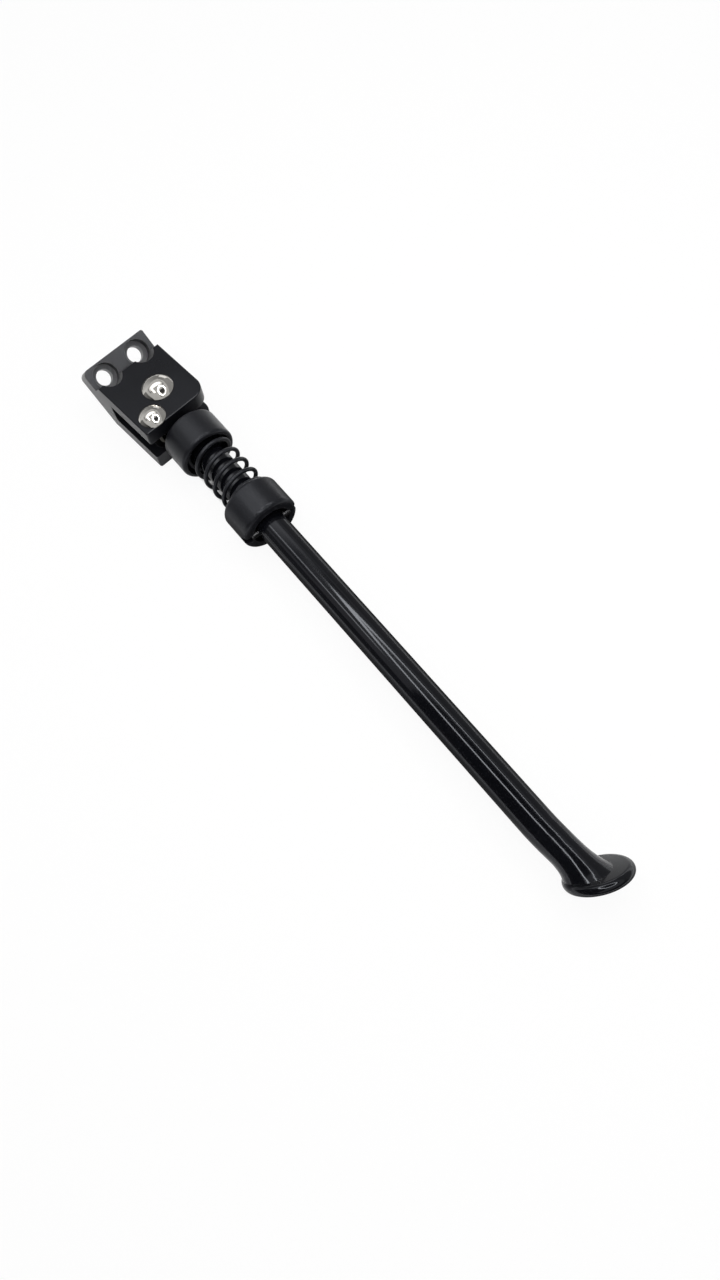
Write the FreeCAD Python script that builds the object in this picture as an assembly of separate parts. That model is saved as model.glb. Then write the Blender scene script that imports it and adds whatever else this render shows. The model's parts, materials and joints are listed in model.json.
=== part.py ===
import FreeCAD, Part
import math
import os

# Electric scooter kickstand, in millimetres.
# The pieces are built about the pivot. X runs from the pivot along the bracket's plates towards the foot,
# Y runs across the plates towards the side that the leg folds to, and Z runs along the pivot rivet
# to its dome. The leg and what it carries are built along X and then leaned about the pivot until the
# tongue meets the stop. Last, everything moves so that the origin lies midway between the screw holes
# on the mounting face.

Vector = FreeCAD.Vector
Rotation = FreeCAD.Rotation
along_x = Vector(1, 0, 0)
along_y = Vector(0, 1, 0)
along_z = Vector(0, 0, 1)

# Bracket block with its slot
plate_to_end = 11.8          # pivot to the end of the plates, where the barrel rides
plate_to_fold_side = 11.2    # pivot to the long edge that the leg folds past
plate_to_stop_side = 14.2    # pivot to the other long edge
plate_to_shoulder = 13.75    # pivot to the shoulder above the flange, on the front plate
plate_to_bend = 12.7         # pivot to the bend line on the back
block_thickness = 19.0
slot_width = 7.6
slot_behind_pivot = 10.0
cam_corner_radius = 5.0
plate_corner_radius = 0.8
edge_radius = 0.5

# Mounting flange and its two screw holes
flange_angle = 40.0
flange_length = 19.9         # bend line to tip, along the mounting face
flange_thickness = 8.2
flange_stop_corner = 2.0
flange_fold_corner = 0.8
screw_spacing = 13.4
screw_to_tip = 5.0
screw_hole = 5.5
head_hole = 8.6
seat_thickness = 4.0         # metal left under the screw's head

# Rivets
pivot_shank = 6.0
pivot_head = 10.6
pivot_dome = 2.9
stop_shank = 5.2
stop_head = 9.0
stop_dome = 2.6
stop_reach = 11.4            # pivot to stop, centre to centre
stop_angle = 47.7            # stop's place below the plates' own axis
rivet_rim = 0.4              # straight edge below each dome
tail_flare = 1.4             # countersunk tail, flush with the back
rivet_fit = 0.02

# Leg
bar_diameter = 10.0
tongue_gap = 0.2             # each side of the tongue in the slot
pivot_gap = 0.05             # running clearance in the tongue's eye
stop_gap = 0.15
cutter_radius = 2.5          # run-out of the flats that form the tongue
flare_length = 20.0
flare_offset = 1.6           # flare's end to the disc's centre
flare_inset = 0.15           # flare's end to the disc's rim, on the side where they run together
foot_reach = 202.0
foot_shift = 3.05            # disc centre off the bar's line, towards the fold side
foot_diameter = 19.9
foot_thickness = 3.2
foot_tilt = 33.6             # sole's lean from square to the bar
foot_turn = 59.0             # direction of that lean about the bar

# Barrel that slides on the bar and is pushed against the plates
cam_gap = 0.15
barrel_diameter = 19.8
barrel_length = 11.6
barrel_gap = 0.06
barrel_wall = 1.45           # round the spring's pocket
spring_pocket_depth = 5.9
barrel_land = 0.25           # flat ring left between the pocket and the rounded rim

# Collar, held up by a pin across the bar
collar_to_pivot = 48.0
collar_diameter = 20.2
collar_length = 12.4
collar_fit = 0.02
collar_wall = 3.1            # round the recess at the foot end
collar_recess_depth = 4.6
collar_slot_depth = 2.2
collar_edge_radius = 1.5
pin_diameter = 2.5
pin_bearing = 0.5            # length of each end of the pin in the collar's slot
pin_chamfer = 0.25
pin_fit = 0.02
pin_slot_gap = 0.15          # each side of the pin in the collar's slot

# Spring
spring_side_gap = 0.65       # between the spring and its pocket, when it is central
spring_shift = 0.45          # by which the loose spring lies to one side
wire_diameter = 1.4
spring_pitch = 5.0
closed_pitch = 1.6
closed_turns = 0.2           # flat stretch at each end, as a share of a turn
easing_turns = 0.35          # over which the flat stretch opens out
spring_seat_gap = 0.1
spring_end_angle = 150.0     # where the wire ends on the collar, about the bar
points_per_turn = 20

# Sizes that follow from those above
half_block = block_thickness / 2
plate_width = plate_to_fold_side + plate_to_stop_side
fold = math.radians(flange_angle)
flange_run = Vector(-math.cos(fold), 0, math.sin(fold))
flange_out = Vector(math.sin(fold), 0, math.cos(fold))
bend = Vector(-plate_to_bend, 0, -half_block)
middle_y = (plate_to_fold_side - plate_to_stop_side) / 2
screw_middle = bend + flange_run * (flange_length - screw_to_tip) + along_y * middle_y
stop_place = Vector(stop_reach * math.cos(math.radians(stop_angle)),
                    -stop_reach * math.sin(math.radians(stop_angle)), 0)
bar_radius = bar_diameter / 2
flare_start = foot_reach - flare_length
leg_lean = math.degrees(math.asin((bar_radius + stop_shank / 2 + stop_gap) / stop_reach)) - stop_angle
cam_reach = cam_corner_radius + math.hypot(plate_to_end - cam_corner_radius,
                                           plate_to_fold_side - cam_corner_radius)
barrel_top = cam_reach + cam_gap
barrel_foot = barrel_top + barrel_length
pocket_floor = barrel_foot - spring_pocket_depth
pocket_radius = barrel_diameter / 2 - barrel_wall
barrel_edge_radius = barrel_wall - barrel_land
spring_radius = pocket_radius - spring_side_gap - wire_diameter / 2
collar_foot = collar_to_pivot + collar_length
recess_radius = collar_diameter / 2 - collar_wall
pin_length = 2 * (recess_radius + pin_bearing)
pin_place = collar_foot - collar_slot_depth + pin_diameter / 2 + pin_fit
tilt = math.radians(foot_tilt)
turn = math.radians(foot_turn)
sole_out = Vector(math.cos(tilt), -math.sin(tilt) * math.cos(turn), -math.sin(tilt) * math.sin(turn))
foot_middle = Vector(foot_reach, foot_shift, 0)
foot_on_axis = along_x * (foot_middle.dot(sole_out) / sole_out.x)
flare_middle = foot_middle + (foot_on_axis - foot_middle).normalize() * flare_offset
flare_radius = foot_diameter / 2 - flare_offset - flare_inset


def edges_where(shape, test):
    """Edges whose ends both pass the test."""
    return [edge for edge in shape.Edges if all(test(vertex.Point) for vertex in edge.Vertexes)]


def close(a, b):
    return abs(a - b) < 1e-6


def revolved(profile, axis):
    """A solid turned about a line through the origin from a closed outline of edges."""
    face = Part.Face(Part.Wire(profile))
    return face.revolve(Vector(), axis, 360)


def line(start, end):
    return Part.LineSegment(start, end).toShape()


def arc(start, through, end):
    return Part.Arc(start, through, end).toShape()


def outline(points):
    """Straight edges round a closed list of points."""
    return [line(a, b) for a, b in zip(points, points[1:] + points[:1])]


def bracket():
    tip_back = bend + flange_run * flange_length
    tip_front = tip_back + flange_out * flange_thickness
    shoulder = Vector(-plate_to_shoulder, 0, half_block)
    shoulder_height = (shoulder - bend).dot(flange_out) - flange_thickness
    profile = outline([
        Vector(plate_to_end, 0, -half_block),
        bend,
        tip_back,
        tip_front,
        shoulder - flange_out * shoulder_height,
        shoulder,
        Vector(plate_to_end, 0, half_block),
    ])
    side = Part.Face(Part.Wire(profile))
    side.translate(along_y * -plate_to_stop_side)
    block = side.extrude(along_y * plate_width)

    # The rounded corner that the barrel rides over, the sharper one beside it, and the flange's two corners
    def at_end(point):
        return close(point.x, plate_to_end)

    def at_tip(point):
        return close((point - tip_back).dot(flange_run), 0)

    corners = (
        (at_end, plate_to_fold_side, cam_corner_radius),
        (at_end, -plate_to_stop_side, plate_corner_radius),
        (at_tip, plate_to_fold_side, flange_fold_corner),
        (at_tip, -plate_to_stop_side, flange_stop_corner),
    )
    for at_place, y, radius in corners:
        corner_edges = edges_where(block, lambda point: at_place(point) and close(point.y, y))
        block = block.makeFillet(radius, corner_edges)

    # Slot for the tongue, open at the plates' end and at both sides
    slot_length = slot_behind_pivot + plate_to_end
    slot_corner = Vector(-slot_behind_pivot, -plate_to_stop_side, -slot_width / 2)
    block = block.cut(Part.makeBox(slot_length, plate_width, slot_width, slot_corner))
    block = block.makeFillet(edge_radius, [edge for edge in block.Edges if is_outer_rim(edge)])

    for place, shank in ((Vector(), pivot_shank), (stop_place, stop_shank)):
        block = block.cut(rivet_hole(place, shank))
    for step in (-1, 1):
        block = block.cut(screw_cut(screw_middle + along_y * (step * screw_spacing / 2)))
    return block


def is_outer_rim(edge):
    """Edges round the front plate's face and the back plate's face."""
    return all(close(abs(vertex.Point.z), half_block) for vertex in edge.Vertexes)


def rivet_hole(place, shank):
    """Straight hole through both plates, countersunk at the back."""
    radius = shank / 2 + rivet_fit
    hole = Part.makeCylinder(radius, block_thickness, Vector(0, 0, -half_block))
    sink = Part.makeCone(radius + tail_flare, radius, tail_flare, Vector(0, 0, -half_block))
    return hole.fuse(sink).translated(place)


def screw_cut(place):
    """Clearance hole square to the mounting face, with a flat-bottomed recess for the screw's head."""
    hole = Part.makeCylinder(screw_hole / 2, seat_thickness, place, flange_out)
    seat = place + flange_out * seat_thickness
    recess = Part.makeCylinder(head_hole / 2, block_thickness, seat, flange_out)
    return hole.fuse(recess)


def rivet(place, shank, head, dome):
    """Domed head on the front plate, plain shank, and a tail spread flush into the back plate."""
    shank_radius = shank / 2
    head_radius = head / 2
    dome_rise = dome - rivet_rim
    dome_radius = (head_radius ** 2 + dome_rise ** 2) / (2 * dome_rise)
    half_angle = math.asin(head_radius / dome_radius) / 2
    dome_base = half_block + dome - dome_radius
    top = Vector(0, 0, half_block + dome)
    on_dome = Vector(dome_radius * math.sin(half_angle), 0, dome_base + dome_radius * math.cos(half_angle))
    dome_edge = Vector(head_radius, 0, half_block + rivet_rim)
    corners = [
        dome_edge,
        Vector(head_radius, 0, half_block),
        Vector(shank_radius, 0, half_block),
        Vector(shank_radius, 0, -half_block + tail_flare),
        Vector(shank_radius + tail_flare, 0, -half_block),
        Vector(0, 0, -half_block),
        top,
    ]
    profile = [arc(top, on_dome, dome_edge)]
    profile += [line(a, b) for a, b in zip(corners, corners[1:])]
    return revolved(profile, along_z).translated(place)


def leg():
    bar = Part.makeCylinder(bar_radius, flare_start + bar_radius, Vector(-bar_radius, 0, 0), along_x)

    # The end is rounded about the pivot, and two milled flats leave the tongue
    round_end = Part.makeCylinder(bar_radius, bar_diameter, Vector(0, 0, -bar_radius))
    rest = Part.makeBox(flare_start, bar_diameter, bar_diameter, Vector(0, -bar_radius, -bar_radius))
    bar = bar.common(round_end.fuse(rest))
    tongue_half = slot_width / 2 - tongue_gap
    for side in (-1, 1):
        bar = bar.cut(flat_cut(tongue_half, side))
    bar = bar.cut(Part.makeCylinder(pivot_shank / 2 + pivot_gap, bar_diameter, Vector(0, 0, -bar_radius)))
    bar = bar.cut(pin(pin_diameter + 2 * pin_fit, bar_diameter, 0))
    return bar.fuse([flare(), foot_disc()]).removeSplitter()


def flat_cut(tongue_half, side):
    """Room that the milling cutter takes on one face of the bar, with its round run-out."""
    depth = bar_radius - tongue_half
    corner = Vector(-bar_radius, -bar_radius, min(side * tongue_half, side * bar_radius))
    slab = Part.makeBox(barrel_top + bar_radius, bar_diameter, depth, corner)
    centre = Vector(barrel_top, -bar_radius, side * (tongue_half + cutter_radius))
    return slab.fuse(Part.makeCylinder(cutter_radius, bar_diameter, centre, along_y))


def flare():
    """The forged end of the bar, which opens out and leans over into the foot."""
    start = along_x * flare_start
    lean = Rotation(along_x, sole_out)
    rings = []
    # A high power of the share keeps most of the opening out near the disc, and a lower one spreads
    # the drift sideways over the whole flare
    for share in (0.0, 0.25, 0.5, 0.7, 0.85, 1.0):
        part_lean = Rotation(lean.Axis, math.degrees(lean.Angle) * share ** 2 * (3 - 2 * share))
        radius = bar_radius + (flare_radius - bar_radius) * share ** 5
        place = start + (foot_on_axis - start) * share + (flare_middle - foot_on_axis) * share ** 1.5
        ring = Part.makeCircle(radius, Vector(), along_x)
        ring.Placement = FreeCAD.Placement(place, part_lean).multiply(ring.Placement)
        rings.append(Part.Wire([ring]))
    return Part.makeLoft(rings, True)


def foot_disc():
    """Round sole plate with a full round rim."""
    half = foot_thickness / 2
    flat_radius = foot_diameter / 2 - half
    low = Vector(flat_radius, 0, -half)
    high = Vector(flat_radius, 0, half)
    profile = [
        line(Vector(0, 0, -half), low),
        arc(low, Vector(flat_radius + half, 0, 0), high),
        line(high, Vector(0, 0, half)),
        line(Vector(0, 0, half), Vector(0, 0, -half)),
    ]
    disc = revolved(profile, along_z)
    disc.Placement = FreeCAD.Placement(foot_middle, Rotation(along_z, sole_out))
    return disc


def ring_edges(shape, radius, x):
    """Circles of one radius about the bar at one place along it."""
    return [edge for edge in shape.Edges
            if isinstance(edge.Curve, Part.Circle) and close(edge.Curve.Radius, radius)
            and close(edge.Curve.Center.x, x)]


def sleeve(start, end, radius, bore):
    tube = Part.makeCylinder(radius, end - start, along_x * start, along_x)
    return tube.cut(Part.makeCylinder(bore, end - start, along_x * start, along_x))


def barrel():
    radius = barrel_diameter / 2
    body = sleeve(barrel_top, barrel_foot, radius, bar_radius + barrel_gap)
    body = body.cut(Part.makeCylinder(pocket_radius, spring_pocket_depth, along_x * pocket_floor, along_x))
    rims = ring_edges(body, radius, barrel_top) + ring_edges(body, radius, barrel_foot)
    return body.makeFillet(barrel_edge_radius, rims)


def collar():
    radius = collar_diameter / 2
    body = sleeve(collar_to_pivot, collar_foot, radius, bar_radius + collar_fit)
    recess_start = along_x * (collar_foot - collar_recess_depth)
    body = body.cut(Part.makeCylinder(recess_radius, collar_recess_depth, recess_start, along_x))
    rims = ring_edges(body, radius, collar_to_pivot) + ring_edges(body, radius, collar_foot)
    body = body.makeFillet(collar_edge_radius, rims)
    slot_half = pin_diameter / 2 + pin_slot_gap
    corner = Vector(collar_foot - collar_slot_depth, -radius, -slot_half)
    return body.cut(Part.makeBox(collar_slot_depth, collar_diameter, 2 * slot_half, corner))


def pin(diameter, length, chamfer):
    """Round pin across the bar."""
    start = Vector(pin_place, -length / 2, 0)
    rod = Part.makeCylinder(diameter / 2, length, start, along_y)
    if chamfer:
        rims = [edge for edge in rod.Edges if isinstance(edge.Curve, Part.Circle)]
        rod = rod.makeChamfer(chamfer, rims)
    return rod


def spring():
    """Compression spring with flat end turns, swept along a helix whose pitch eases in and out."""
    start = pocket_floor + spring_seat_gap + wire_diameter / 2
    end = collar_to_pivot - wire_diameter / 2
    opening = spring_pitch - closed_pitch
    turns = (end - start + opening * (2 * closed_turns + easing_turns)) / spring_pitch

    def extra(at):
        """Advance beyond the flat pitch: the area under a slope that eases in after the flat turns."""
        into = min(max(at - closed_turns, 0), easing_turns)
        full = max(at - closed_turns - easing_turns, 0)
        return opening * (into ** 2 / (2 * easing_turns) + full)

    def advance(at):
        """The far half mirrors the near half."""
        if at <= turns / 2:
            return start + closed_pitch * at + extra(at)
        return end - closed_pitch * (turns - at) - extra(turns - at)

    count = math.ceil(turns * points_per_turn)
    points = []
    for step in range(count + 1):
        at = turns * step / count
        angle = math.radians(spring_end_angle) - 2 * math.pi * (turns - at)
        across = spring_shift + spring_radius * math.cos(angle)
        points.append(Vector(advance(at), across, spring_radius * math.sin(angle)))
    path = Part.BSplineCurve()
    path.interpolate(points)
    first = path.FirstParameter
    wire = Part.makeCircle(wire_diameter / 2, points[0], path.tangent(first)[0])
    return Part.Wire([path.toShape()]).makePipeShell([Part.Wire([wire])], True, True)


pieces = {
    "bracket": bracket(),
    "pivot_rivet": rivet(Vector(), pivot_shank, pivot_head, pivot_dome),
    "stop_rivet": rivet(stop_place, stop_shank, stop_head, stop_dome),
}
carried = {
    "leg": leg(),
    "barrel": barrel(),
    "spring": spring(),
    "collar": collar(),
    "cross_pin": pin(pin_diameter, pin_length, pin_chamfer),
}
for name, shape in carried.items():
    pieces[name] = shape.rotated(Vector(), along_z, leg_lean)

os.makedirs("parts", exist_ok=True)
for name, shape in pieces.items():
    shape.translated(screw_middle * -1).exportStep(f"parts/{name}.step")
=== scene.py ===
import json
import math

import bpy
import numpy as np
from mathutils import Matrix, Vector


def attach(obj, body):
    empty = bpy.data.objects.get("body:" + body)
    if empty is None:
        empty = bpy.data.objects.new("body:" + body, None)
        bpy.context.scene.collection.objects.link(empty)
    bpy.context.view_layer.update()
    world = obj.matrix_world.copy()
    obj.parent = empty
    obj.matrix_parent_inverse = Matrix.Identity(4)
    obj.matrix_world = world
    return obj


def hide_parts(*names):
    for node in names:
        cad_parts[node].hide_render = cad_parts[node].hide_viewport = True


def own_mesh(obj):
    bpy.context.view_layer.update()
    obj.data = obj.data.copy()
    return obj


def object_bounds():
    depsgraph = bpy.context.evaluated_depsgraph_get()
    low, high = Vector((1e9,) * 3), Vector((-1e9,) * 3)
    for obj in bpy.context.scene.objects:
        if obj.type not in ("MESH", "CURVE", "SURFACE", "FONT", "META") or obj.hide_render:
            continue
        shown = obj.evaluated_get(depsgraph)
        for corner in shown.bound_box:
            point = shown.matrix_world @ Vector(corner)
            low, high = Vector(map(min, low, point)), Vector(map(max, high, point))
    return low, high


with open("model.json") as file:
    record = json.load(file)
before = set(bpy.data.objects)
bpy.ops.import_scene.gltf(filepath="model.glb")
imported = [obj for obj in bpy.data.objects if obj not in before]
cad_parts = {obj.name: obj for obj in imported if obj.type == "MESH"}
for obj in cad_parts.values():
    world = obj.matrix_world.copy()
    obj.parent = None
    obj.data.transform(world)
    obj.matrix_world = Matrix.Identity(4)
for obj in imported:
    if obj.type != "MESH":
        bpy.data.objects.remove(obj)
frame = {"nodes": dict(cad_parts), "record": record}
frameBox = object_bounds()
scene = bpy.context.scene
scene.view_settings.view_transform = "Standard"
print("frame loaded")


# Shader helpers

def setSocket(tree, socket, value):
    if isinstance(value, bpy.types.NodeSocket):
        tree.links.new(value, socket)
    else:
        socket.default_value = value


def addNode(tree, kind, **inputs):
    node = tree.nodes.new("ShaderNode" + kind)
    for name, value in inputs.items():
        setSocket(tree, node.inputs[name], value)
    return node


def calculate(tree, operation, *values):
    node = tree.nodes.new("ShaderNodeMath")
    node.operation = operation
    for socket, value in zip(node.inputs, values):
        setSocket(tree, socket, value)
    return node.outputs[0]


def joinVectors(tree, operation, first, second):
    node = tree.nodes.new("ShaderNodeVectorMath")
    node.operation = operation
    setSocket(tree, node.inputs[0], first)
    setSocket(tree, node.inputs[1], second)
    return node.outputs


# How far a vector reaches along an axis, or how well two normals agree
def dotProduct(tree, first, second):
    return joinVectors(tree, "DOT_PRODUCT", first, second)["Value"]


# A value's span stretched to a new one and held at its ends
def spread(tree, value, span, newSpan):
    node = addNode(tree, "MapRange", Value=value)
    for name, number in zip(("From Min", "From Max", "To Min", "To Max"), (*span, *newSpan)):
        setSocket(tree, node.inputs[name], number)
    return node.outputs["Result"]


# A Mix node's sockets share their names, so each kind's first, second and result are found by number
mixSockets = {"FLOAT": (2, 3, 0), "RGBA": (6, 7, 2)}


def mix(tree, kind, factor, first, second, blend="MIX"):
    node = tree.nodes.new("ShaderNodeMix")
    node.data_type = kind
    node.blend_type = blend
    firstAt, secondAt, resultAt = mixSockets[kind]
    setSocket(tree, node.inputs["Factor"], factor)
    setSocket(tree, node.inputs[firstAt], first)
    setSocket(tree, node.inputs[secondAt], second)
    return node.outputs[resultAt]


# A colour made lighter or darker by a value
def shadeColour(tree, colour, value):
    grey = addNode(tree, "CombineColor", Red=value, Green=value, Blue=value)
    return mix(tree, "RGBA", 1.0, colour, grey.outputs[0], "MULTIPLY")


# Most of a noise lies in this span
noiseSpan = (0.3, 0.7)


# A roughness that swings to both sides of its middle with a noise
def swingGloss(tree, noise, middle, reach):
    swing = calculate(tree, "MULTIPLY", spread(tree, noise, noiseSpan, (-1.0, 1.0)), reach)
    return calculate(tree, "ADD", middle, swing)


def startGroup(name, inputs, outputs):
    tree = bpy.data.node_groups.new(name, "ShaderNodeTree")
    for side, sockets in (("INPUT", inputs), ("OUTPUT", outputs)):
        for socketName, kind in sockets.items():
            tree.interface.new_socket(socketName, in_out=side, socket_type="NodeSocket" + kind)
    return tree, tree.nodes.new("NodeGroupInput").outputs, tree.nodes.new("NodeGroupOutput").inputs


def useGroup(tree, group, **inputs):
    node = tree.nodes.new("ShaderNodeGroup")
    node.node_tree = group
    for name, value in inputs.items():
        setSocket(tree, node.inputs[name], value)
    return node.outputs


finishOutputs = {"Color": "Color", "Roughness": "Float", "Height": "Float"}

# Sprayed or dipped coat: broad clouds shift the colour and the gloss, a fine grain gives the orange peel
coatEffect = {
    "cloudDetail": 4.0, "cloudShade": (0.8, 1.2),
    "grainDetail": 2.0, "grainSpan": (0.35, 0.65), "grainShade": (0.9, 1.1),
}


def makeCoatGroup():
    tree, given, out = startGroup("coatSkin", {
        "Place": "Vector", "Base": "Color", "CloudScale": "Float", "GrainScale": "Float",
        "Gloss": "Float", "GlossRange": "Float",
    }, finishOutputs)
    cloud = addNode(tree, "TexNoise", Vector=given["Place"], Scale=given["CloudScale"],
                    Detail=coatEffect["cloudDetail"]).outputs["Fac"]
    grain = addNode(tree, "TexNoise", Vector=given["Place"], Scale=given["GrainScale"],
                    Detail=coatEffect["grainDetail"]).outputs["Fac"]
    cloudShade = spread(tree, cloud, noiseSpan, coatEffect["cloudShade"])
    grainShade = spread(tree, grain, coatEffect["grainSpan"], coatEffect["grainShade"])
    shade = calculate(tree, "MULTIPLY", cloudShade, grainShade)
    setSocket(tree, out["Color"], shadeColour(tree, given["Base"], shade))
    setSocket(tree, out["Roughness"], swingGloss(tree, cloud, given["Gloss"], given["GlossRange"]))
    setSocket(tree, out["Height"], grain)
    return tree


# Rubbed edges with a painted edge highlight: where a bevelled normal leaves the true one, broken up by noise
rubAndHighlightEffect = {
    "samples": 6, "edgeSpan": (0.99, 0.85),
    "patchDetail": 5.0, "patchSpan": (0.45, 0.62), "patchShare": (0.15, 1.0),
}


def makeRubAndHighlightGroup():
    tree, given, out = startGroup("edgeRubAndHighlight", {
        "Place": "Vector", "Width": "Float", "Patches": "Float",
    }, {"Mask": "Float"})
    bevel = addNode(tree, "Bevel", Radius=given["Width"])
    bevel.samples = rubAndHighlightEffect["samples"]
    trueNormal = tree.nodes.new("ShaderNodeNewGeometry").outputs["Normal"]
    agreement = dotProduct(tree, bevel.outputs["Normal"], trueNormal)
    edge = spread(tree, agreement, rubAndHighlightEffect["edgeSpan"], (0.0, 1.0))
    patches = addNode(tree, "TexNoise", Vector=given["Place"], Scale=given["Patches"],
                      Detail=rubAndHighlightEffect["patchDetail"]).outputs["Fac"]
    lightening = spread(tree, patches, rubAndHighlightEffect["patchSpan"], rubAndHighlightEffect["patchShare"])
    setSocket(tree, out["Mask"], calculate(tree, "MULTIPLY", edge, lightening))
    return tree


# Bare steel: long fine scratches from noise stretched along one direction, over faint clouding
steelEffect = {"lineDetail": 3.0, "cloudScale": 350.0, "cloudDetail": 3.0, "cloudShade": (0.88, 1.05)}


def makeSteelGroup():
    tree, given, out = startGroup("bareSteel", {
        "Place": "Vector", "Base": "Color", "Stretch": "Vector", "Gloss": "Float", "GlossRange": "Float",
    }, finishOutputs)
    stretched = joinVectors(tree, "MULTIPLY", given["Place"], given["Stretch"])["Vector"]
    lines = addNode(tree, "TexNoise", Vector=stretched, Scale=1.0,
                    Detail=steelEffect["lineDetail"]).outputs["Fac"]
    cloud = addNode(tree, "TexNoise", Vector=given["Place"], Scale=steelEffect["cloudScale"],
                    Detail=steelEffect["cloudDetail"]).outputs["Fac"]
    shade = spread(tree, cloud, noiseSpan, steelEffect["cloudShade"])
    setSocket(tree, out["Color"], shadeColour(tree, given["Base"], shade))
    setSocket(tree, out["Roughness"], swingGloss(tree, lines, given["Gloss"], given["GlossRange"]))
    setSocket(tree, out["Height"], lines)
    return tree


coatSkin = makeCoatGroup()
edgeRubAndHighlight = makeRubAndHighlightGroup()
bareSteel = makeSteelGroup()
print("node groups made")

coolTint = (0.9, 0.93, 1.0, 1)  # every black coat mirrors a little cooler than it is lit
bumpDepth = 0.0001  # metres, for the orange peel and the scratches


def startMaterial(name):
    material = bpy.data.materials.new(name)
    material.use_nodes = True
    tree = material.node_tree
    coordinates = tree.nodes.new("ShaderNodeTexCoord").outputs
    return material, tree, coordinates, tree.nodes["Principled BSDF"].inputs


def addBump(tree, shader, height, strength):
    bump = addNode(tree, "Bump", Height=height, Strength=strength, Distance=bumpDepth)
    setSocket(tree, shader["Normal"], bump.outputs["Normal"])


# A painted finish: the coat, with its own grey and gloss on its edges, partly rubbed wear and partly a
# painted edge highlight, and a bump of orange peel.
# Faces that look along seatFacing carry a painted highlight of lighter grey, most of all deep in their
# recesses.
def makePaint(name, look):
    material, tree, coordinates, shader = startMaterial(name)
    place = coordinates["Object"]
    coat = useGroup(tree, coatSkin, Place=place, Base=look["colour"], CloudScale=look["clouds"],
                    GrainScale=look["grain"], Gloss=look["gloss"], GlossRange=look["glossRange"])
    rubAndHighlight = useGroup(tree, edgeRubAndHighlight, Place=place, Width=look["rubAndHighlightWidth"], Patches=look["patches"])["Mask"]
    rubAndHighlightShare = calculate(tree, "MULTIPLY", rubAndHighlight, look["rubAndHighlightAmount"])
    # Edges turn a lighter grey: partly rubbed wear, partly a painted edge highlight
    colour = mix(tree, "RGBA", rubAndHighlightShare, coat["Color"], look["rubAndHighlightColour"])
    # Painted highlight: the seat faces turn lighter grey, lighter still deep in the screw recesses
    if "seatFacing" in look:
        facing = dotProduct(tree, coordinates["Normal"], look["seatFacing"])
        seat = spread(tree, facing, look["seatSpan"], (0.0, 1.0))
        height = dotProduct(tree, place, look["seatFacing"])
        deep = spread(tree, height, look["seatHeights"], (1.0, 0.0))
        lightening = mix(tree, "RGBA", deep, look["seatHighlightGrey"], look["recessHighlightGrey"])
        colour = mix(tree, "RGBA", seat, colour, lightening, "ADD")
    setSocket(tree, shader["Base Color"], colour)
    setSocket(tree, shader["Roughness"], mix(tree, "FLOAT", rubAndHighlightShare, coat["Roughness"], look["rubGloss"]))
    addBump(tree, shader, coat["Height"], look["peel"])
    shader["Specular IOR Level"].default_value = look["specular"]
    shader["Specular Tint"].default_value = coolTint
    return material


# A bare finish: scratched steel, with painted shade darkening it inside the slot, where the height is small
def makeSteel(name, look):
    material, tree, coordinates, shader = startMaterial(name)
    place = coordinates["Object"]
    steel = useGroup(tree, bareSteel, Place=place, Base=look["colour"], Stretch=look["stretch"],
                     Gloss=look["gloss"], GlossRange=look["glossRange"])
    colour = steel["Color"]
    # Painted shade inside the slot between the plates, where the height is small
    if "slotPaintedShade" in look:
        height = addNode(tree, "SeparateXYZ", Vector=place).outputs["Z"]
        inSlot = spread(tree, calculate(tree, "ABSOLUTE", height), look["slotPaintedShadeFade"], (1.0, 0.0))
        colour = mix(tree, "RGBA", inSlot, colour, look["slotPaintedShade"], "MULTIPLY")
    setSocket(tree, shader["Base Color"], colour)
    setSocket(tree, shader["Roughness"], steel["Roughness"])
    shader["Metallic"].default_value = 1.0
    addBump(tree, shader, steel["Height"], look["scratch"])
    return material


def dress(material, *names):
    for name in names:
        for slot in frame["nodes"][name].material_slots:
            slot.material = material


# Bracket: satin black coating on the cast block; its screws go in against the way that the seats look. The
# seat faces and the floors of the screw recesses carry a painted highlight of lighter grey.
mounts = {mount["name"]: mount for mount in frame["record"]["mounts"]}
bracketLook = {
    "colour": (0.0048, 0.005, 0.0066, 1), "clouds": 70.0, "grain": 2600.0, "gloss": 0.3, "glossRange": 0.05,
    "rubAndHighlightWidth": 0.0006, "patches": 260.0, "rubAndHighlightAmount": 0.5, "rubAndHighlightColour": (0.07, 0.07, 0.072, 1),
    "rubGloss": 0.35, "peel": 0.12, "specular": 0.25,
    "seatFacing": -Vector(mounts["deck_bolts"]["axis"]), "seatSpan": (0.95, 0.99),
    "seatHeights": (0.005, 0.007), "seatHighlightGrey": (0.062, 0.062, 0.064, 1), "recessHighlightGrey": (0.18, 0.18, 0.184, 1),
}
dress(makePaint("bracketPaint", bracketLook), "bracket")

# Leg: gloss black enamel, smooth enough to mirror the lamps as lines
legLook = {
    "colour": (0.0028, 0.003, 0.0042, 1), "clouds": 40.0, "grain": 900.0, "gloss": 0.11, "glossRange": 0.03,
    "rubAndHighlightWidth": 0.0008, "patches": 200.0, "rubAndHighlightAmount": 0.35, "rubAndHighlightColour": (0.05, 0.05, 0.052, 1),
    "rubGloss": 0.3, "peel": 0.012, "specular": 0.42,
}
dress(makePaint("legEnamel", legLook), "leg")

# Barrel and collar: satin black coating on turned sleeves
sleeveLook = {
    "colour": (0.0056, 0.0058, 0.0078, 1), "clouds": 90.0, "grain": 2200.0, "gloss": 0.34, "glossRange": 0.06,
    "rubAndHighlightWidth": 0.0008, "patches": 240.0, "rubAndHighlightAmount": 0.4, "rubAndHighlightColour": (0.06, 0.06, 0.062, 1),
    "rubGloss": 0.32, "peel": 0.16, "specular": 0.42,
}
dress(makePaint("sleevePaint", sleeveLook), "barrel", "collar")

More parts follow.
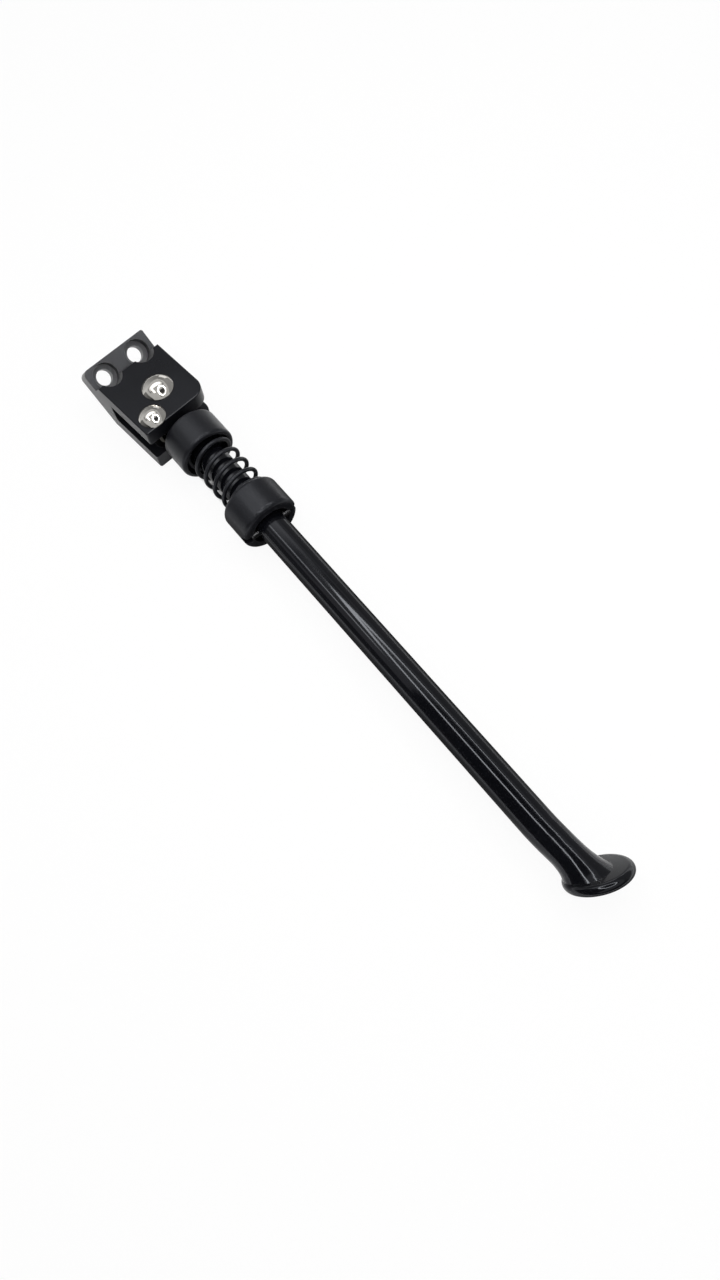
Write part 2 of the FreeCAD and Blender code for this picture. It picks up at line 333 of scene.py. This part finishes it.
# Rivets: polished steel domes, with painted shade on their shanks inside the slot between the plates
rivetLook = {
    "colour": (0.8, 0.775, 0.73, 1), "stretch": (2600.0, 500.0, 900.0), "gloss": 0.08, "glossRange": 0.025,
    "scratch": 0.03, "slotPaintedShade": (0.05, 0.048, 0.045, 1), "slotPaintedShadeFade": (0.0046, 0.0056),
}
dress(makeSteel("rivetSteel", rivetLook), "pivot_rivet", "stop_rivet")

# Cross pin: plain ground steel, with its scratches round the pin
pinLook = {
    "colour": (0.11, 0.11, 0.114, 1), "stretch": (900.0, 4000.0, 900.0), "gloss": 0.3, "glossRange": 0.06,
    "scratch": 0.1,
}
dress(makeSteel("pinSteel", pinLook), "cross_pin")
print("frame dressed")

# The leg's own axes, from the joints that carry it
joints = {joint["name"]: joint for joint in frame["record"]["behaviour"]["joints"]}
pivot = Vector(joints["leg_pivot"]["pos_m"])
legAlong = Vector(joints["barrel_slide"]["axis"]).normalized()
legUp = Vector(joints["leg_pivot"]["axis"])
legSide = legUp.cross(legAlong)

# Spring: semi-gloss black wire; places are measured along the leg from the pivot
springWire = {
    "wireRadius": 0.0007, "coilRadius": 0.0071, "sideShift": 0.00045, "start": 0.020852, "end": 0.0473,
    "pitch": 0.005, "flatPitch": 0.0016, "flatTurns": 0.2, "easingTurns": 0.35, "endAngle": 150.0,
    "stepsPerTurn": 96, "sides": 20, "capRadius": 0.0006, "capLength": 0.0001,
    "colour": (0.0066, 0.0068, 0.0088, 1), "clouds": 160.0, "grain": 3000.0, "gloss": 0.34,
    "glossRange": 0.05, "rubAndHighlightWidth": 0.0003, "patches": 500.0, "rubAndHighlightAmount": 0.3,
    "rubAndHighlightColour": (0.06, 0.06, 0.062, 1), "rubGloss": 0.3, "peel": 0.08, "specular": 0.5,
}


# Advance beyond the flat pitch: nothing over the flat turns, then the area under a slope that eases in
def springExtra(at):
    flat, easing = springWire["flatTurns"], springWire["easingTurns"]
    into = np.clip(at - flat, 0.0, easing)
    opened = into ** 2 / (2 * easing) + np.maximum(at - flat - easing, 0.0)
    return (springWire["pitch"] - springWire["flatPitch"]) * opened


# A round wire swept along a right-handed helix. At each turn the path lies the coil's radius from the axis,
# at the turn's angle, and as far along as the turn has advanced; the far half's advance mirrors the near
# half's. A ring is the path's point plus the wire's radius times a cosine along the normal and a sine along
# the binormal.
def makeSpring():
    sizes = springWire
    opening = sizes["pitch"] - sizes["flatPitch"]
    length = sizes["end"] - sizes["start"]
    turns = (length + opening * (2 * sizes["flatTurns"] + sizes["easingTurns"])) / sizes["pitch"]
    at = np.linspace(0.0, turns, int(turns * sizes["stepsPerTurn"]))
    near = sizes["start"] + sizes["flatPitch"] * at + springExtra(at)
    far = sizes["end"] - sizes["flatPitch"] * (turns - at) - springExtra(turns - at)
    along = np.where(at < turns / 2, near, far)
    angle = math.radians(sizes["endAngle"]) - 2 * math.pi * (turns - at)
    radial = np.stack([np.zeros_like(at), np.cos(angle), np.sin(angle)], 1)
    path = radial * sizes["coilRadius"]
    path[:, 0] = along
    path[:, 1] += sizes["sideShift"]
    tangent = np.gradient(path, axis=0)
    tangent /= np.linalg.norm(tangent, axis=1, keepdims=True)
    normal = radial - tangent * np.sum(radial * tangent, 1, keepdims=True)
    normal /= np.linalg.norm(normal, axis=1, keepdims=True)
    binormal = np.cross(tangent, normal)

    # A smaller ring just outside each end ring chamfers the cut wire
    def lengthen(rows):
        return np.concatenate([rows[:1], rows, rows[-1:]])

    radius = lengthen(np.full(len(at), sizes["wireRadius"]))
    radius[[0, -1]] = sizes["capRadius"]
    centre = lengthen(path)
    centre[1] += tangent[0] * sizes["capLength"]
    centre[-2] -= tangent[-1] * sizes["capLength"]
    turn = np.linspace(0.0, 2 * math.pi, sizes["sides"], endpoint=False)
    ring = (np.cos(turn)[None, :, None] * lengthen(normal)[:, None, :]
            + np.sin(turn)[None, :, None] * lengthen(binormal)[:, None, :])
    grid = centre[:, None, :] + ring * radius[:, None, None]
    rows, sides = grid.shape[:2]
    points = np.concatenate([grid.reshape(-1, 3), centre[:1], centre[-1:]])
    axes = np.array([legAlong, legSide, legUp])
    points = points @ axes + np.array(pivot)

    # Quads between neighbouring rings, and a fan round a pole at each end
    index = np.arange(rows * sides).reshape(rows, sides)
    after = np.roll(index, -1, axis=1)
    quads = np.stack([index[:-1], after[:-1], after[1:], index[1:]], -1).reshape(-1, 4)
    firstPole, lastPole = rows * sides, rows * sides + 1
    caps = [(firstPole, int(b), int(a)) for a, b in zip(index[0], after[0])]
    caps += [(lastPole, int(a), int(b)) for a, b in zip(index[-1], after[-1])]
    mesh = bpy.data.meshes.new("springCoil")
    mesh.from_pydata(points.tolist(), [], quads.tolist() + caps)
    smooth = np.ones(len(mesh.polygons), dtype=bool)
    smooth[len(quads):] = False
    mesh.polygons.foreach_set("use_smooth", smooth)
    mesh.update()
    spring = bpy.data.objects.new("springCoil", mesh)
    scene.collection.objects.link(spring)
    return spring


springCoil = makeSpring()
springCoil.data.materials.append(makePaint("springPaint", springWire))
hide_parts("spring")
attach(springCoil, "leg")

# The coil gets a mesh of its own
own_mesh(springCoil)
print("spring made")

# The camera is placed by matching the outlines in the photograph
cameraFit = {
    "place": (0.2131, -0.0692, 0.2486), "right": (0.691, 0.721, -0.056), "up": (-0.657, 0.658, 0.368),
    "sensorHeight": 36.0, "lens": 25.31, "clipStart": 0.01,
}
cameraPlace = Vector(cameraFit["place"])
camera = bpy.data.objects.new("camera", bpy.data.cameras.new("camera"))
camera.data.sensor_fit = "VERTICAL"
camera.data.sensor_height = cameraFit["sensorHeight"]
camera.data.lens = cameraFit["lens"]
camera.data.clip_start = cameraFit["clipStart"]
right = Vector(cameraFit["right"]).normalized()
back = right.cross(Vector(cameraFit["up"])).normalized()
up = back.cross(right)
camera.matrix_world = Matrix.Translation(cameraPlace) @ Matrix((right, up, back)).transposed().to_4x4()
scene.collection.objects.link(camera)
scene.camera = camera
print("camera placed")


# What the camera and mirrors see: 1 for camera and transmitted rays, and a share of it for glossy rays
def seenDirectly(tree, mirrorShare):
    path = tree.nodes.new("ShaderNodeLightPath").outputs
    mirror = calculate(tree, "MULTIPLY", path["Is Glossy Ray"], mirrorShare)
    through = calculate(tree, "MAXIMUM", path["Is Camera Ray"], path["Is Transmission Ray"])
    return calculate(tree, "MAXIMUM", through, mirror)


# A room with white sides and a dim ceiling, which the camera sees all white and mirrors see as it is.
# The heights that it fades over are sines of the elevation.
room = {"fadeOver": (0.15, 0.5), "sides": 1.0, "ceiling": 0.5, "mirror": 0.0}
white = (1, 1, 1, 1)
world = bpy.data.worlds.new("studio")
world.use_nodes = True
sky = world.node_tree
backdrop = sky.nodes["Background"].inputs
backdrop["Color"].default_value = white
toRoom = addNode(sky, "SeparateXYZ", Vector=sky.nodes.new("ShaderNodeTexCoord").outputs["Generated"])
roomLight = spread(sky, toRoom.outputs["Z"], room["fadeOver"], (room["sides"], room["ceiling"]))
setSocket(sky, backdrop["Strength"], calculate(sky, "MAXIMUM", roomLight, seenDirectly(sky, room["mirror"])))
scene.world = world


# Stage helpers

def makeStagePiece(name, points, faces, material, hiddenFrom=()):
    mesh = bpy.data.meshes.new(name)
    mesh.from_pydata(points, [], faces)
    mesh.materials.append(material)
    piece = bpy.data.objects.new(name, mesh)
    for ray in hiddenFrom:
        setattr(piece, "visible_" + ray, False)
    scene.collection.objects.link(piece)


def makeStagePanel(name, corners, material, hiddenFrom=()):
    makeStagePiece(name, corners, [(0, 1, 2, 3)], material, hiddenFrom)


# The four corners of a rectangle in turn, from its two spans
def cornersOf(first, second):
    return [(first[0], second[0]), (first[1], second[0]), (first[1], second[1]), (first[0], second[1])]


def startStageMaterial(name):
    material = bpy.data.materials.new(name)
    material.use_nodes = True
    tree = material.node_tree
    tree.nodes.remove(tree.nodes["Principled BSDF"])
    return material, tree, tree.nodes["Material Output"].inputs["Surface"]


def makeGlow(name, strength):
    material, tree, surface = startStageMaterial(name)
    emission = addNode(tree, "Emission", Color=white, Strength=strength)
    setSocket(tree, surface, emission.outputs[0])
    return material


# Gives a glow a strength that changes over its panel
def fadeGlow(material, strength):
    tree = material.node_tree
    setSocket(tree, tree.nodes["Emission"].inputs["Strength"], strength)


# Share of a panel's effect: 1 in its middle, falling along each axis with a power of the way to its edge
def fadeToEdges(tree, start, *sides):
    place = tree.nodes.new("ShaderNodeTexCoord").outputs["Object"]
    share = 1.0
    for axis, span, power in sides:
        begin = axis.dot(start)
        way = spread(tree, dotProduct(tree, place, axis), (begin + span[0], begin + span[1]), (-1.0, 1.0))
        fall = calculate(tree, "POWER", calculate(tree, "ABSOLUTE", way), power)
        share = calculate(tree, "MULTIPLY", share, calculate(tree, "SUBTRACT", 1.0, fall))
    return share


# The floor lies just under the lowest piece, mostly lit by itself so that only a faint shadow is left.
# Under the coil it has no glow, so that the shadow there stays.
floor = {
    "half": 2.0, "drop": 0.0002, "white": 0.95, "glow": 0.92, "mirror": 0.25,
    "coilMiddle": 0.032, "coilAlong": (0.018, 0.02), "coilAcross": (0.0042, 0.0058),
}
floorHeight = frameBox[0].z - floor["drop"]


# 0 near a place on the leg, measured along one of its axes, and 1 away from it
def clearOfLeg(tree, place, axis, middle, span):
    reach = calculate(tree, "SUBTRACT", dotProduct(tree, place, axis), axis.dot(pivot) + middle)
    return spread(tree, calculate(tree, "ABSOLUTE", reach), span, (0.0, 1.0))


def makeFloor():
    material, tree, surface = startStageMaterial("paleFloor")
    place = tree.nodes.new("ShaderNodeTexCoord").outputs["Object"]
    clearAcross = clearOfLeg(tree, place, legSide, 0.0, floor["coilAcross"])
    clearAlong = clearOfLeg(tree, place, legAlong, floor["coilMiddle"], floor["coilAlong"])
    clearOfCoil = calculate(tree, "MAXIMUM", clearAcross, clearAlong)
    lit = calculate(tree, "MULTIPLY", clearOfCoil, floor["glow"])
    matte = addNode(tree, "BsdfDiffuse", Color=(floor["white"], floor["white"], floor["white"], 1))
    glow = addNode(tree, "Emission", Color=white, Strength=1.0)
    both = tree.nodes.new("ShaderNodeMixShader")
    setSocket(tree, both.inputs[0], calculate(tree, "MULTIPLY", seenDirectly(tree, floor["mirror"]), lit))
    setSocket(tree, both.inputs[1], matte.outputs[0])
    setSocket(tree, both.inputs[2], glow.outputs[0])
    setSocket(tree, surface, both.outputs[0])
    span = (-floor["half"], floor["half"])
    makeStagePanel("floor", [(x, y, floorHeight) for x, y in cornersOf(span, span)], material)


makeFloor()

# Axes at the lens: along the leg, square to it towards the lens, and across
fromPivot = cameraPlace - pivot
towardLens = (fromPivot - legAlong * fromPivot.dot(legAlong)).normalized()
besideLens = towardLens.cross(legAlong)
onlyMirrored = ("camera", "diffuse", "shadow", "transmission")


def atLens(along, beside, behind=0.0):
    return tuple(cameraPlace + legAlong * along + besideLens * beside + towardLens * behind)


def makeLensPanel(name, panel, material, hiddenFrom):
    corners = [atLens(along, beside, panel["behind"])
               for along, beside in cornersOf(panel["along"], panel["beside"])]
    makeStagePanel(name, corners, material, hiddenFrom)


# Oval ring lamp above the lens, seen in the rivets as a ring and along the leg as two lines
ringLamp = {"middle": (-0.065, 0.125), "radii": (0.145, 0.12), "width": 0.026, "strength": 8.5, "sides": 64}


def makeRingLamp():
    count = ringLamp["sides"]
    points = []
    for edge in (-ringLamp["width"] / 2, ringLamp["width"] / 2):
        for angle in np.linspace(0.0, 2 * math.pi, count, endpoint=False):
            along = ringLamp["middle"][0] + (ringLamp["radii"][0] + edge) * math.cos(angle)
            beside = ringLamp["middle"][1] + (ringLamp["radii"][1] + edge) * math.sin(angle)
            points.append(atLens(along, beside))
    faces = [(step, (step + 1) % count, count + (step + 1) % count, count + step) for step in range(count)]
    makeStagePiece("ringLamp", points, faces, makeGlow("ringGlow", ringLamp["strength"]), ("camera",))


makeRingLamp()

# Pale window beyond the ring, seen beside it in the rivets, in the collar and at the top of the leg
window = {"along": (-0.4, -0.235), "beside": (-0.17, 0.3), "behind": 0.005, "strength": 2.1, "power": 2.0}
windowGlow = makeGlow("windowGlow", window["strength"])
windowShare = fadeToEdges(windowGlow.node_tree, cameraPlace, (legAlong, window["along"], window["power"]),
                          (besideLens, window["beside"], window["power"]))
fadeGlow(windowGlow, calculate(windowGlow.node_tree, "MULTIPLY", windowShare, window["strength"]))
makeLensPanel("window", window, windowGlow, ("camera",))

# Strip lamp beyond the ring, seen on the leg near the collar
stripLamp = {"along": (-0.29, -0.16), "beside": (-0.08, -0.05), "behind": 0.0, "strength": 4.0}
makeLensPanel("stripLamp", stripLamp, makeGlow("stripGlow", stripLamp["strength"]), ("camera",))

# Dark card round the lens, which only mirrors see
darkCard = {"along": (-0.12, 0.1), "beside": (-0.025, 0.3), "behind": 0.02, "colour": (0.02, 0.02, 0.02, 1)}
cardMaterial = bpy.data.materials.new("darkCard")
cardMaterial.use_nodes = True
cardMaterial.node_tree.nodes["Principled BSDF"].inputs["Base Color"].default_value = darkCard["colour"]
makeLensPanel("darkCard", darkCard, cardMaterial, onlyMirrored)

# A second one close above the leg's lower half, out of the camera's way, so that the rivets don't mirror it.
# Its inner and outer edges are given beside the leg and towards the lens.
legCard = {"along": (0.116, 0.24), "inner": (-0.007, 0.08), "outer": (-0.075, 0.027)}
legCardEdges = (legCard["inner"], legCard["outer"])
legCardCorners = [tuple(pivot + legAlong * along + besideLens * beside + towardLens * toward)
                  for along, (beside, toward) in cornersOf(legCard["along"], legCardEdges)]
makeStagePanel("legCard", legCardCorners, cardMaterial, onlyMirrored)

# Cards that stand round the part, which only mirrors see; a card's glow may fade along one axis
sideCards = {
    "darkSide": {"from": (-0.5, -0.5), "to": (0.8, -0.5), "heights": (0.0, 0.3), "glow": 0.16,
                 "fadeAlong": "X", "fadeOver": (-0.3, 0.25), "fadeTo": 0.0},
    "greySide": {"from": (-0.3, 0.5), "to": (0.8, 0.5), "heights": (0.0, 0.45), "glow": 0.28},
    "farSide": {"from": (-0.5, -0.5), "to": (-0.5, 0.38), "heights": (0.0, 0.4), "glow": 0.6,
                "fadeAlong": "Y", "fadeOver": (-0.4, 0.2), "fadeTo": 0.22},
    "cornerSide": {"from": (-0.5, 0.38), "to": (-0.3, 0.5), "heights": (0.2, 0.45), "glow": 0.22},
    "nearSide": {"from": (0.8, -0.5), "to": (0.8, 0.5), "heights": (0.0, 0.35), "glow": 0.02},
}


def makeSideCard(name, card):
    material = makeGlow(name, card["glow"])
    if "fadeAlong" in card:
        tree = material.node_tree
        place = addNode(tree, "SeparateXYZ", Vector=tree.nodes.new("ShaderNodeTexCoord").outputs["Object"])
        fadeGlow(material, spread(tree, place.outputs[card["fadeAlong"]], card["fadeOver"],
                                  (card["glow"], card["fadeTo"])))
    corners = [(*place, floorHeight + height)
               for place, height in cornersOf((card["from"], card["to"]), card["heights"])]
    makeStagePanel(name, corners, material, onlyMirrored)


for name, card in sideCards.items():
    makeSideCard(name, card)

# Shades on the floor, which only mirrors see: as white as the floor at their edges, dim in the middle.
# Their powers are along the leg and beside it.
shades = {
    "legShade": {"along": (0.015, 0.193), "beside": (-0.055, 0.065), "lift": 0.00005, "depth": 0.93,
                 "powers": (8.0, 2.0)},
    "footShade": {"along": (0.198, 0.27), "beside": (-0.04, 0.05), "lift": 0.00005, "depth": 0.9,
                  "powers": (4.0, 2.0)},
    "sleeveShade": {"along": (-0.06, 0.06), "beside": (-0.11, -0.03), "lift": 0.0001, "depth": 0.55,
                    "powers": (4.0, 2.0)},
}


def makeShade(name, shade):
    material = makeGlow(name, floor["white"])
    tree = material.node_tree
    share = fadeToEdges(tree, pivot, (legAlong, shade["along"], shade["powers"][0]),
                        (legSide, shade["beside"], shade["powers"][1]))
    dimming = calculate(tree, "MULTIPLY", share, shade["depth"])
    fadeGlow(material, calculate(tree, "SUBTRACT", floor["white"], dimming))
    corners = []
    for along, beside in cornersOf(shade["along"], shade["beside"]):
        place = pivot + legAlong * along + legSide * beside
        corners.append((place.x, place.y, floorHeight + shade["lift"]))
    makeStagePanel(name, corners, material, onlyMirrored)


for name, shade in shades.items():
    makeShade(name, shade)

# Soft box overhead, which mirrors don't see
softBox = {"place": (-0.1, 0.25, 0.9), "aim": (0.1, 0.0, 0.0), "size": 0.7, "power": 1.0}
lamp = bpy.data.lights.new("softBox", "AREA")
lamp.size = softBox["size"]
lamp.energy = softBox["power"]
lampObject = bpy.data.objects.new("softBox", lamp)
lampPlace = Vector(softBox["place"])
lampTurn = (lampPlace - Vector(softBox["aim"])).to_track_quat("Z", "Y")
lampObject.matrix_world = Matrix.Translation(lampPlace) @ lampTurn.to_matrix().to_4x4()
lampObject.visible_glossy = False
scene.collection.objects.link(lampObject)
print("studio lit")
